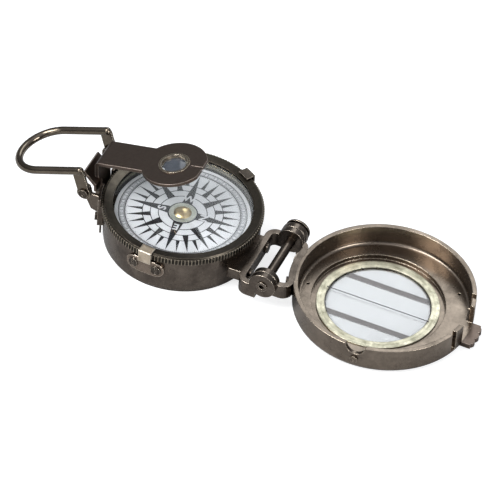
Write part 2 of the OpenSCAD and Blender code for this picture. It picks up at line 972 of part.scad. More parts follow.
module eyepiece_arm() {
  color("#54463f")
    difference() {
      union() {
        // sheet bent at the fold, as wide as the eye plate
        translate([0, eye_r + 1, 0])
          rotate([90, 0, 0])
            linear_extrude(height = 2 * eye_r + 2)
              polygon([
                strap_pt(lens_s + eye_end, strap_t / 2),
                for (i = [0 : bend_n])
                  bend_pt(bend_in + strap_t, bend_a0 + i * (bend_a1 - bend_a0) / bend_n),
                leg_pt(0, strap_t / 2),
                leg_pt(0, -strap_t / 2),
                for (i = [0 : bend_n])
                  bend_pt(bend_in, bend_a1 - i * (bend_a1 - bend_a0) / bend_n),
                strap_pt(lens_s + eye_end, -strap_t / 2)
              ]);
        // knuckle round the arm pin
        rod_y(-arm_px, arm_pz, 1.7, -leg_w / 2 - 1, leg_w / 2 + 1);
      }
      // sheet outside the outline
      on_strap()
        translate([0, 0, -2 * leg_len])
          linear_extrude(height = 2 * leg_len + 5)
            difference() {
              translate([-lens_s, -2 * eye_r])
                square([3 * lens_s, 4 * eye_r]);
              arm_outline();
            }
      // lens hole and the sighting slit behind it
      on_strap()
        translate([lens_s, 0, -5])
          cylinder(r = lens_r, h = 10, $fn = 64);
      on_strap()
        translate([lens_s + lens_r + 1.6, -0.4, -5])
          cube([10, 0.8, 10]);
      // the leg narrows to pass the gap in the lid wall
      for (side = [-1, 1])
        translate([-arm_px, 0, arm_pz])
          rotate([0, -leg_ang, 0])
            translate([-6, 0, 0])
              rotate([90, 0, 90])
                linear_extrude(height = 12)
                  polygon([
                    [side * leg_w / 2, -4], [side * leg_w / 2, leg_len * 0.45],
                    [side * (strap_w / 2 + 0.5), leg_len * 0.65],
                    [side * 2 * strap_w, leg_len * 0.65], [side * 2 * strap_w, -4]
                  ]);
      rod_y(-arm_px, arm_pz, 0.8 + pin_fit, -10, 10);
    }
}

module arm_grip() {
  back = -strap_t / 2;
  foot = leg_len * 0.28;
  color("#4b3f39")
    translate([-arm_px, 0, arm_pz])
      rotate([0, -leg_ang, 0])
        side_plate(-strap_w / 2 + 0.6, strap_w / 2 - 0.6)
          polygon([
            [back, foot - 2.4], [back - grip_t, foot - 2.4], [back - grip_t, foot + 0.1],
            [back - grip_t - grip_out, foot + 0.1 + grip_rise],
            [back - 0.3 * grip_t - grip_out, foot + 0.1 + grip_rise + 0.65 * grip_t],
            [back, foot + 0.75 * grip_t]
          ]);
}

module lens() {
  color("#b8c4c8", 0.5)
    on_strap()
      translate([lens_s, 0, 0])
        intersection() {
          cylinder(r = lens_r - 0.2, h = 2.0, center = true);
          translate([0, 0, -8.5])
            sphere(r = 9.4, $fn = 96);
          translate([0, 0, 8.5])
            sphere(r = 9.4, $fn = 96);
        }
}

module lens_ring() {
  color("#b3a48f")
    on_strap()
      translate([lens_s, 0, 0])
        difference() {
          union() {
            cylinder(r = lens_r, h = strap_t + 0.5, center = true);
            translate([0, 0, strap_t / 2])
              cylinder(r = lens_r + 0.7, h = 0.25);
          }
          cylinder(r = lens_r - 0.2, h = 5, center = true);
        }
}

// thumb loop, drawn level with its bends at the origin and turned down by the fall

module on_loop() {
  translate([-rivet_x - tang_x, 0, rivet_z + tang_h])
    rotate([0, -loop_fall, 0])
      children();
}

module wire_x(y, x0, x1) {
  translate([x0, y, 0])
    rotate([0, 90, 0])
      cylinder(r = wire_r, h = x1 - x0);
}

// flattened end of the wire, bent down beside the bracket ear and pierced for the rivet
module tang() {
  tang_y = rear_ear_y + rear_ear_t + tang_gap;
  side_plate(tang_y, tang_y + 1.2)
    difference() {
      union() {
        translate([-rivet_x, rivet_z])
          circle(r = 2.6);
        bar_2d(-rivet_x + 0.2, rivet_z - 0.4, -rivet_x - tang_x + 0.2, rivet_z + tang_h - 0.8, 2.2);
      }
      translate([-rivet_x, rivet_z])
        circle(r = 1.2 + pin_fit);
    }
}

module thumb_loop() {
  bow_x = loop_w / 2 - loop_len;
  color("#8b8177")
    union() {
      on_loop()
        union() {
          both_sides() {
            wire_x(loop_w / 2, bow_x, 0.6);
            translate([0.6, loop_w / 2, 0])
              sphere(r = wire_r);
          }
          translate([bow_x, 0, 0])
            rotate([0, 0, 90])
              rotate_extrude(angle = 180)
                translate([loop_w / 2, 0])
                  circle(r = wire_r);
        }
      both_sides()
        tang();
    }
}

case_shell();
base_cover();
inner_liner();
pivot_post();
near_clip();
near_clip_tab();
near_clip_screws();
far_clip();
far_clip_tab();
far_clip_screws();
hinge_bracket();
hinge_screws();
hinge_collar();
hinge_pin();
hinge_knob();
rear_bracket();
rear_screws();
leaf_spring();
arm_pin();
loop_rivets();
bezel_ring();
crystal();
crystal_seat();
card();
card_hub();
card_magnets();
card_washer();
card_cap();
lid_shell();
lid_tab();
lid_bracket();
lid_screws();
window_ring();
window_glass();
hair_wire();
guard_bars();
notch_stud();
eyepiece_arm();
arm_grip();
lens();
lens_ring();
thumb_loop();
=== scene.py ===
"""Folding pocket compass in aged bronze: finishes, dial print, camera and light.

Everything is in metres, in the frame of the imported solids, unless a docstring says
millimetres. The case stands on the floor at the origin, with its lid swung open
towards +X and the thumb loop towards -X.
"""

import logging
import math
from dataclasses import dataclass
from enum import Enum
from functools import cache

import bmesh
import bpy
from mathutils import Matrix, Vector


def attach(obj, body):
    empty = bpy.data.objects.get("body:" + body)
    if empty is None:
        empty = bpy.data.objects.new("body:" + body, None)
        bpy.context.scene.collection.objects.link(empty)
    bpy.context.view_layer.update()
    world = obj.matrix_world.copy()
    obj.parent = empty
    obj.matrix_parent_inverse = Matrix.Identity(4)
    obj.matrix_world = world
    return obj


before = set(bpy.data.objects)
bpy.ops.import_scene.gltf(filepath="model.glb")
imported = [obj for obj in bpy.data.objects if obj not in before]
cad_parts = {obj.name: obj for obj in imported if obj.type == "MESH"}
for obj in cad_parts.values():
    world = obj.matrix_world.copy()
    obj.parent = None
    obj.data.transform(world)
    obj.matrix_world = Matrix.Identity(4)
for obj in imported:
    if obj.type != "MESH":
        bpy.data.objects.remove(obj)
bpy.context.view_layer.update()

MM = 0.001
LOG = logging.getLogger("compass")

Point = tuple[float, float, float]
Colour = tuple[float, float, float]
Span = tuple[float, float]
Socket = tuple[bpy.types.Node, str | int]


def mm(*values: float) -> Vector:
    """A point given in millimetres, as a vector in metres."""
    return Vector([v * MM for v in values])


# Shader nodes


class Nodes:
    """A short hand for adding and linking the nodes of one tree.

    Attributes:
        MIX_COLOURS: The inputs of a Mix node that take its two colours.
        MIX_RESULT: The output that gives the mixed colour.
    """

    MIX_COLOURS = (6, 7)
    MIX_RESULT = 2

    def __init__(self, tree: bpy.types.NodeTree) -> None:
        """Keeps the tree."""
        self.tree = tree

    @staticmethod
    def fill(node: bpy.types.Node, values: dict[str, float | tuple]) -> bpy.types.Node:
        """Sets inputs of a node by name, with underscores for spaces."""
        for key, value in values.items():
            node.inputs[key.replace("_", " ")].default_value = value
        return node

    def add(self, kind: str, **values: float | tuple) -> bpy.types.Node:
        """Adds a node and sets its named inputs.

        Args:
            kind: Node type.
            **values: Input values by name, with underscores for spaces.

        Returns:
            The new node.
        """
        return self.fill(self.tree.nodes.new(kind), values)

    def link(self, source: Socket, node: bpy.types.Node, into: str | int) -> None:
        """Links an output, a (node, output) pair, to an input of a node."""
        self.tree.links.new(source[0].outputs[source[1]], node.inputs[into])

    def shader(self, **values: float | tuple) -> bpy.types.Node:
        """Sets named inputs of the material's own Principled BSDF and returns it."""
        return self.fill(self.tree.nodes["Principled BSDF"], values)

    def math(self, operation: str, *terms: float | Socket) -> Socket:
        """Adds a Math node.

        Args:
            operation: Name of the operation.
            *terms: Numbers, or (node, output) pairs to link.

        Returns:
            Its output.
        """
        node = self.tree.nodes.new("ShaderNodeMath")
        node.operation = operation
        for i, term in enumerate(terms):
            if isinstance(term, tuple):
                self.link(term, node, i)
            else:
                node.inputs[i].default_value = term
        return node, 0

    def remap(
        self, value: Socket, source: Span = (0.0, 1.0), result: Span = (0.0, 1.0)
    ) -> Socket:
        """Adds a Map Range node.

        Args:
            value: (node, output) pair that is mapped.
            source: Values that are mapped to the ends of the result.
            result: Values that come out.

        Returns:
            Its output.
        """
        node = self.add(
            "ShaderNodeMapRange",
            From_Min=source[0],
            From_Max=source[1],
            To_Min=result[0],
            To_Max=result[1],
        )
        self.link(value, node, "Value")
        return node, 0

    def noise(
        self, place: Socket, scale: float | Socket, detail: float, rough: float = 0.5
    ) -> Socket:
        """Adds a Noise Texture node.

        Args:
            place: (node, output) pair that gives the place.
            scale: Scale per metre, or a (node, output) pair that gives it.
            detail: Number of octaves.
            rough: Share of each octave in the next.

        Returns:
            Its output.
        """
        node = self.add("ShaderNodeTexNoise", Detail=detail, Roughness=rough)
        self.link(place, node, "Vector")
        if isinstance(scale, tuple):
            self.link(scale, node, "Scale")
        else:
            node.inputs["Scale"].default_value = scale
        return node, 0

    def place(self) -> Socket:
        """The object's own coordinates."""
        return self.add("ShaderNodeTexCoord"), "Object"

    def split(self, vector: Socket) -> bpy.types.Node:
        """Splits a vector into X, Y and Z."""
        node = self.add("ShaderNodeSeparateXYZ")
        self.link(vector, node, 0)
        return node

    def radius(self, x: Socket, y: Socket) -> Socket:
        """Distance from an axis, from the two coordinates across it."""
        xx = self.math("MULTIPLY", x, x)
        yy = self.math("MULTIPLY", y, y)
        return self.math("SQRT", self.math("ADD", xx, yy))

    def effect(self, group: bpy.types.NodeTree, **values: float) -> bpy.types.Node:
        """Places a shared effect and sets its named inputs."""
        node = self.tree.nodes.new("ShaderNodeGroup")
        node.node_tree = group
        return self.fill(node, values)

    def blend(
        self, factor: Socket, a: Colour | Socket, b: Colour | Socket
    ) -> Socket:
        """Mixes two colours, each a colour or a (node, output) pair, by a mask."""
        node = self.tree.nodes.new("ShaderNodeMix")
        node.data_type = "RGBA"
        self.link(factor, node, 0)
        for into, term in zip(self.MIX_COLOURS, (a, b)):
            if isinstance(term[0], bpy.types.Node):
                self.link(term, node, into)
            else:
                node.inputs[into].default_value = (*term, 1.0)
        return node, self.MIX_RESULT

    def bump(self, height: Socket, depth: float) -> bpy.types.Node:
        """Adds a Bump node for a height in metres and gives it to the shader."""
        node = self.add("ShaderNodeBump", Strength=1.0, Distance=depth)
        self.link(height, node, "Height")
        self.link((node, 0), self.shader(), "Normal")
        return node


class Effects:
    """Node groups that several finishes share, each built once on first use.

    Attributes:
        BROAD: Share of the broad patches in the tarnish; the rest is fine ones.
        FINE: Scale of the fine patches against the broad ones.
        MIDDLE: Value of the noise in the middle of the step between two patches.
        STEP: Half the width of that step, for a sharpness of 1.
        EDGE_SAMPLES: Samples that find the edges.
        EDGE_GAIN: How fast an edge brightens with its turn.
        GRIME: Scale of the grime that breaks up the edges, per metre.
        GRIME_STEP: Values of the grime between which an edge is partly covered.
        GRIME_LEFT: What is left of an edge under the grime.
        HAIR_TURNS: Turns of the three sets of hairlines, in radians.
        HAIR_TILT: Their turns about X and Y, as shares of that about Z.
        HAIR_STRETCH: How far a hairline is drawn out.
        HAIR_CUT: Values of the noise between which a hairline is cut.
        GROOVE: Height of the knurl's wave under which a groove lies.
        CREST: Height of the knurl's wave over which a crest lies.
    """

    BROAD = 0.72
    FINE = 7.0
    MIDDLE = 0.5
    STEP = 0.22
    EDGE_SAMPLES = 6
    EDGE_GAIN = 5.0
    GRIME = 900.0
    GRIME_STEP = (0.3, 0.6)
    GRIME_LEFT = 0.45
    HAIR_TURNS = (0.35, 1.2, 2.3)
    HAIR_TILT = (0.3, 0.2)
    HAIR_STRETCH = 0.035
    HAIR_CUT = (0.62, 0.74)
    GROOVE = 0.35
    CREST = 0.8

    @staticmethod
    def _group(
        name: str, inputs: dict[str, float], outputs: dict[str, str]
    ) -> tuple[Nodes, bpy.types.Node, bpy.types.Node]:
        """Starts a shader node group.

        Args:
            name: Name of the group.
            inputs: Float inputs and their default values.
            outputs: Output names and their kinds of socket, Float or Vector.

        Returns:
            The nodes of the group, with its input and output nodes.
        """
        tree = bpy.data.node_groups.new(name, "ShaderNodeTree")
        for key, value in inputs.items():
            sock = tree.interface.new_socket(
                key, in_out="INPUT", socket_type="NodeSocketFloat"
            )
            sock.default_value = value
        for key, kind in outputs.items():
            tree.interface.new_socket(
                key, in_out="OUTPUT", socket_type=f"NodeSocket{kind}"
            )
        n = Nodes(tree)
        return n, n.add("NodeGroupInput"), n.add("NodeGroupOutput")

    @classmethod
    @cache
    def mottle(cls) -> bpy.types.NodeTree:
        """Patches of tarnish at two sizes, as a mask from 0 to 1."""
        n, gin, gout = cls._group(
            "Mottle", {"Size": 140.0, "Sharpness": 0.5}, {"Mask": "Float"}
        )
        place = n.place()
        broad = n.noise(place, (gin, "Size"), detail=6.0, rough=0.62)
        fine_size = n.math("MULTIPLY", (gin, "Size"), cls.FINE)
        fine = n.noise(place, fine_size, detail=4.0, rough=0.7)
        both = n.math(
            "ADD",
            n.math("MULTIPLY", broad, cls.BROAD),
            n.math("MULTIPLY", fine, 1.0 - cls.BROAD),
        )
        step = n.math("MULTIPLY", (gin, "Sharpness"), cls.STEP)
        mask = n.remap(both)
        n.link(n.math("SUBTRACT", cls.MIDDLE, step), mask[0], "From Min")
        n.link(n.math("ADD", cls.MIDDLE, step), mask[0], "From Max")
        n.link(mask, gout, "Mask")
        return n.tree

    @classmethod
    @cache
    def edge(cls) -> bpy.types.NodeTree:
        """Worn edges that are partly painted edge highlight: a mask that is 1 on edges,
        broken up by grime.
        """
        n, gin, gout = cls._group(
            "Edge wear and painted edge light",
            {"Radius": 0.00035, "Strength": 1.0},
            {"Mask": "Float", "Normal": "Vector"},
        )
        bevel = n.add("ShaderNodeBevel")
        bevel.samples = cls.EDGE_SAMPLES
        n.link((gin, "Radius"), bevel, "Radius")
        dot = n.add("ShaderNodeVectorMath")
        dot.operation = "DOT_PRODUCT"
        n.link((bevel, 0), dot, 0)
        n.link((n.add("ShaderNodeNewGeometry"), "Normal"), dot, 1)
        turn = n.math("SUBTRACT", 1.0, (dot, "Value"))
        grime = n.noise(n.place(), cls.GRIME, detail=3.0)
        bare = n.remap(grime, cls.GRIME_STEP, (cls.GRIME_LEFT, 1.0))
        gain = n.math("MULTIPLY", turn, cls.EDGE_GAIN)
        worn = n.math("MULTIPLY", gain, bare)
        mask = n.math("MULTIPLY", worn, (gin, "Strength"))
        mask[0].use_clamp = True
        n.link(mask, gout, "Mask")
        n.link((bevel, 0), gout, "Normal")
        return n.tree

    @classmethod
    @cache
    def scratches(cls) -> bpy.types.NodeTree:
        """Fine hairline scratches and pits, as a height."""
        n, gin, gout = cls._group(
            "Scratches", {"Size": 1400.0, "Pits": 0.5}, {"Height": "Float"}
        )
        place = n.place()
        cuts = []
        for turn in cls.HAIR_TURNS:
            drawn = n.add(
                "ShaderNodeMapping",
                Rotation=(*(turn * tilt for tilt in cls.HAIR_TILT), turn),
                Scale=(1.0, cls.HAIR_STRETCH, 1.0),
            )
            n.link(place, drawn, "Vector")
            hair = n.noise((drawn, 0), (gin, "Size"), detail=2.0, rough=0.6)
            cuts.append(n.remap(hair, cls.HAIR_CUT))
        lines = cuts[0]
        for cut in cuts[1:]:
            lines = n.math("MAXIMUM", lines, cut)
        pits = n.noise(place, (gin, "Size"), detail=5.0, rough=0.75)
        pits = n.math("MULTIPLY", pits, (gin, "Pits"))
        n.link(n.math("SUBTRACT", pits, lines), gout, "Height")
        return n.tree

    @classmethod
    @cache
    def turned(cls) -> bpy.types.NodeTree:
        """Lathe marks, fine rings about a vertical axis, as a mask from 0 to 1."""
        n, gin, gout = cls._group(
            "Turned",
            {"Centre X": 0.0, "Centre Y": 0.0, "Rings": 5200.0},
            {"Mask": "Float"},
        )
        split = n.split(n.place())
        dx = n.math("SUBTRACT", (split, "X"), (gin, "Centre X"))
        dy = n.math("SUBTRACT", (split, "Y"), (gin, "Centre Y"))
        join = n.add("ShaderNodeCombineXYZ")
        n.link(n.math("MULTIPLY", n.radius(dx, dy), (gin, "Rings")), join, "X")
        n.link(n.math("MULTIPLY", (split, "Z"), (gin, "Rings")), join, "Y")
        rings = n.noise((join, 0), scale=1.0, detail=3.0, rough=0.6)
        n.link(rings, gout, "Mask")
        return n.tree

    @classmethod
    @cache
    def teeth(cls) -> bpy.types.NodeTree:
        """The teeth of a knurl about the upright axis, as masks of groove and crest."""
        n, gin, gout = cls._group(
            "Teeth",
            {"Radius": 0.03, "Count": 100.0},
            {"Groove": "Float", "Crest": "Float"},
        )
        split = n.split(n.place())
        turn = n.math("ARCTAN2", (split, "Y"), (split, "X"))
        wave = n.math("COSINE", n.math("MULTIPLY", turn, (gin, "Count")))
        radius = n.radius((split, "X"), (split, "Y"))
        outside = n.math("GREATER_THAN", radius, (gin, "Radius"))
        groove = n.math("LESS_THAN", wave, cls.GROOVE)
        crest = n.math("GREATER_THAN", wave, cls.CREST)
        n.link(n.math("MULTIPLY", outside, groove), gout, "Groove")
        n.link(n.math("MULTIPLY", outside, crest), gout, "Crest")
        return n.tree


# Finishes


@dataclass(frozen=True)
class Surface:
    """What every finish has: a name, and a material that is built once.

    Attributes:
        name: Name of the material.
    """

    name: str

    def material(self) -> bpy.types.Material:
        """Builds the material, or returns it if it is there already."""
        mat = bpy.data.materials.get(self.name)
        if mat is None:
            mat = bpy.data.materials.new(self.name)
            mat.use_nodes = True
            self.lay_out(Nodes(mat.node_tree))
        return mat

    def lay_out(self, n: Nodes) -> None:
        """Adds the finish's own nodes to those of a new material."""
        raise NotImplementedError


@dataclass(frozen=True)
class Metal(Surface):
    """A worn metal finish: tarnish in patches, edges that are partly worn and partly
    painted highlight, hairlines and pits.

    Attributes:
        deep: Colour of the heavy tarnish.
        base: Colour of the open surface.
        rubbed_and_painted_light: Colour of the edges and worn places; on the edges it
            is partly wear and partly a painted highlight, and where it is dark it is
            painted shade.
        rough: Lowest and highest roughness.
        patch_size: Scale of the tarnish patches, per metre.
        patch_sharp: Width of the step between patches; 1 is soft.
        edge_radius: Width of the worn and painted highlight edges, in metres.
        edge_strength: How bright the worn and painted highlight edges are, from 0 to 1.
        relief: Depth of the hairlines and pits, in metres.
        turning: Centre in metres and strength of lathe marks, if any.
        turning_step: Values of the lathe marks between which they brighten.
        metallic: 1 for bare metal, 0 for paint.
        knurl: Radius past which the metal is knurled, and the count of teeth.
    """

    deep: Colour
    base: Colour
    rubbed_and_painted_light: Colour
    rough: Span = (0.3, 0.5)
    patch_size: float = 150.0
    patch_sharp: float = 0.9
    edge_radius: float = 0.0004
    edge_strength: float = 1.0
    relief: float = 0.000005
    turning: Point | None = None
    turning_step: Span = (0.35, 0.65)
    metallic: float = 1.0
    knurl: tuple[float, int] | None = None

    def lay_out(self, n: Nodes) -> None:
        """Tarnish, then lathe marks and knurl where there are any, then edges."""
        shader = n.shader(Metallic=self.metallic)
        mottle = n.effect(
            Effects.mottle(), Size=self.patch_size, Sharpness=self.patch_sharp
        )
        edge = n.effect(
            Effects.edge(), Radius=self.edge_radius, Strength=self.edge_strength
        )
        colour = n.blend((mottle, "Mask"), self.deep, self.base)
        if self.turning is not None:
            x, y, strength = self.turning
            turned = n.effect(Effects.turned(), Centre_X=x, Centre_Y=y)
            rings = n.remap((turned, "Mask"), self.turning_step, (0.0, strength))
            colour = n.blend(rings, colour, self.rubbed_and_painted_light)
        if self.knurl is not None:
            radius, count = self.knurl
            teeth = n.effect(Effects.teeth(), Radius=radius, Count=float(count))
            # The knurl's teeth are drawn only in colour: the dark grooves are partly
            # tarnish and partly painted shade, and the bright crests are partly wear
            # and partly painted highlight.
            colour = n.blend((teeth, "Groove"), colour, self.deep)
            colour = n.blend((teeth, "Crest"), colour, self.rubbed_and_painted_light)
        # Every edge takes this colour whatever the light: partly wear, partly a painted
        # edge highlight, and painted edge shade where the colour is dark.
        colour = n.blend((edge, "Mask"), colour, self.rubbed_and_painted_light)
        n.link(colour, shader, "Base Color")
        smooth, dull = self.rough
        n.link(n.remap((mottle, "Mask"), result=(dull, smooth)), shader, "Roughness")
        bump = n.bump((n.effect(Effects.scratches()), "Height"), self.relief)
        n.link((edge, "Normal"), bump, "Normal")


@dataclass(frozen=True)
class Glass(Surface):
    """Clear glass with a faint smear of handling on it.

    Attributes:
        tint: Colour that light takes on in the glass; in the lens it is partly painted
            shade.
        smear: Roughness of the smeared places.
        ior: Index of refraction.
        clear: How much of it is clear, from 0 to 1.
        smear_size: Scale of the smears, per metre.
        smear_soft: Width of the step at their edges.
    """

    tint: Colour
    smear: float = 0.05
    ior: float = 1.5
    clear: float = 1.0
    smear_size: float = 90.0
    smear_soft: float = 1.6

    def lay_out(self, n: Nodes) -> None:
        """Smeared glass that lets the light of lamps through."""
        shader = n.shader(
            Base_Color=(*self.tint, 1.0), IOR=self.ior, Transmission_Weight=self.clear
        )
        mottle = n.effect(
            Effects.mottle(), Size=self.smear_size, Sharpness=self.smear_soft
        )
        rough = n.remap((mottle, "Mask"), result=(0.0, self.smear))
        n.link(rough, shader, "Roughness")
        mix = n.add("ShaderNodeMixShader")
        n.link((n.add("ShaderNodeLightPath"), "Is Shadow Ray"), mix, 0)
        n.link((shader, 0), mix, 1)
        n.link((n.add("ShaderNodeBsdfTransparent"), 0), mix, 2)
        n.link((mix, 0), n.tree.nodes["Material Output"], "Surface")


@dataclass(frozen=True)
class Print(Surface):
    """Paint or ink on the card, slightly uneven.

    Attributes:
        fresh: Colour of the even parts.
        faded: Colour of the faded parts.
        rough: Lowest and highest roughness.
        shine: Strength of its reflections.
        size: Scale of the fading, per metre.
        soft: Width of the step at the faded parts.
        grain: Scale of the paper's grain, per metre.
        pits: Share of pits in the grain.
        relief: Depth of the grain, in metres.
    """

    fresh: Colour
    faded: Colour
    rough: Span = (0.35, 0.5)
    shine: float = 0.2
    size: float = 260.0
    soft: float = 1.4
    grain: float = 2600.0
    pits: float = 0.8
    relief: float = 0.000004

    def lay_out(self, n: Nodes) -> None:
        """Even and faded parts over the grain of the paper."""
        shader = n.shader(Specular_IOR_Level=self.shine)
        mottle = n.effect(Effects.mottle(), Size=self.size, Sharpness=self.soft)
        colour = n.blend((mottle, "Mask"), self.fresh, self.faded)
        n.link(colour, shader, "Base Color")
        rough = n.remap((mottle, "Mask"), result=self.rough)
        n.link(rough, shader, "Roughness")
        marks = n.effect(Effects.scratches(), Size=self.grain, Pits=self.pits)
        n.bump((marks, "Height"), self.relief)


class Finish(Enum):
    """Every finish on the compass."""

    CASE = Metal(
        "aged bronze",
        deep=(0.062, 0.050, 0.041),
        base=(0.205, 0.169, 0.139),
        rubbed_and_painted_light=(0.66, 0.57, 0.47),
        rough=(0.2, 0.36),
    )
    WIRE = Metal(
        "polished bronze wire",
        deep=(0.085, 0.070, 0.052),
        base=(0.24, 0.20, 0.155),
        rubbed_and_painted_light=(0.66, 0.57, 0.46),
        rough=(0.1, 0.22),
        patch_size=90.0,
        relief=0.000002,
    )
    ARM = Metal(
        "dark bronze",
        deep=(0.10, 0.077, 0.063),
        base=(0.175, 0.135, 0.112),
        rubbed_and_painted_light=(0.50, 0.41, 0.35),
        rough=(0.26, 0.42),
        patch_size=110.0,
        edge_radius=0.0003,
    )
    LID = Metal(
        "lid bronze",
        deep=(0.090, 0.073, 0.058),
        base=(0.315, 0.258, 0.207),
        rubbed_and_painted_light=(0.62, 0.53, 0.42),
        rough=(0.18, 0.34),
        patch_size=120.0,
        patch_sharp=1.2,
    )
    BEZEL = Metal(
        "bezel bronze",
        deep=(0.024, 0.021, 0.017),
        base=(0.085, 0.073, 0.058),
        rubbed_and_painted_light=(0.36, 0.31, 0.24),
        rough=(0.26, 0.4),
        edge_radius=0.00012,
        turning=(0.0, 0.0, 0.12),
        knurl=(0.0288, 150),
    )
    LINER = Metal(
        "liner brass",
        deep=(0.06, 0.056, 0.040),
        base=(0.24, 0.22, 0.15),
        rubbed_and_painted_light=(0.62, 0.56, 0.40),
        rough=(0.08, 0.2),
        turning=(0.0, 0.0, 0.3),
    )
    PALE = Metal(
        "pale brass",
        deep=(0.20, 0.19, 0.125),
        base=(0.62, 0.58, 0.44),
        rubbed_and_painted_light=(0.98, 0.93, 0.74),
        rough=(0.24, 0.46),
        patch_size=300.0,
        patch_sharp=0.6,
        turning=(0.0772, 0.0, 0.35),
    )
    WASHER = Metal(
        "washer brass",
        deep=(0.22, 0.225, 0.185),
        base=(0.54, 0.55, 0.49),
        rubbed_and_painted_light=(0.66, 0.66, 0.56),
        rough=(0.3, 0.45),
        edge_radius=0.00015,
    )
    CLIP = Metal(
        "rubbed bronze clip",
        deep=(0.16, 0.125, 0.10),
        base=(0.34, 0.27, 0.215),
        rubbed_and_painted_light=(0.86, 0.74, 0.60),
        rough=(0.2, 0.36),
        patch_size=220.0,
        edge_radius=0.0005,
    )
    BRIGHT = Metal(
        "bright brass",
        deep=(0.66, 0.50, 0.25),
        base=(0.80, 0.64, 0.36),
        rubbed_and_painted_light=(1.0, 0.92, 0.72),
        rough=(0.26, 0.3),
        patch_size=120.0,
        patch_sharp=2.5,
        edge_radius=0.00015,
        relief=0.000001,
    )
    # Partly wear and partly painted highlight: the near tab is made pale all over for
    # the light that its top and lip catch, while the far tab is dark.
    TAB = Metal(
        "worn brass tab with painted highlight",
        deep=(0.42, 0.33, 0.235),
        base=(0.88, 0.76, 0.60),
        rubbed_and_painted_light=(1.0, 0.94, 0.80),
        rough=(0.24, 0.38),
        patch_size=260.0,
        edge_radius=0.0006,
    )
    RIM = Metal(
        "lens rim bronze",
        deep=(0.22, 0.18, 0.135),
        base=(0.46, 0.385, 0.30),
        rubbed_and_painted_light=(0.95, 0.86, 0.70),
        rough=(0.2, 0.34),
        edge_radius=0.0002,
    )
    # Also laid on the far clip as painted shade: it is the same clip as the near one,
    # darkened for the shade it stands in.
    FITTING = Metal(
        "dark fitting",
        deep=(0.030, 0.025, 0.020),
        base=(0.12, 0.100, 0.082),
        rubbed_and_painted_light=(0.70, 0.60, 0.50),
        rough=(0.2, 0.36),
        edge_radius=0.00028,
    )
    BAR = Metal(
        "dull bar",
        deep=(0.13, 0.115, 0.11),
        base=(0.20, 0.18, 0.175),
        # This dark edge colour is painted shade along the bars' edges, not wear.
        rubbed_and_painted_light=(0.05, 0.045, 0.045),
        rough=(0.3, 0.45),
        edge_radius=0.0004,
        metallic=0.0,
    )
    CARD = Print("white card", (0.45, 0.46, 0.475), (0.385, 0.395, 0.41))
    BAND = Print("tinted band", (0.15, 0.155, 0.165), (0.22, 0.225, 0.235))
    THREAD = Print("dark thread", (0.05, 0.05, 0.055), (0.09, 0.09, 0.095))
    INK = Print(
        "black ink", (0.004, 0.004, 0.005), (0.011, 0.011, 0.013), rough=(0.3, 0.45)
    )
    GLASS = Glass("crystal glass", (0.975, 0.985, 0.985), smear=0.012)
    WINDOW = Glass("window glass", (0.74, 0.75, 0.755), smear=0.03)
    # The lens's dark tint and partial clearness are painted shade: the lens is darkened
    # for the dark that it refracts.
    LENS = Glass("lens glass", (0.085, 0.095, 0.112), smear=0.01, clear=0.45)


def dress(obj: bpy.types.Object, finish: Finish) -> None:
    """Gives every face of an object one finish."""
    obj.data.materials.clear()
    obj.data.materials.append(finish.value.material())


# Shapes


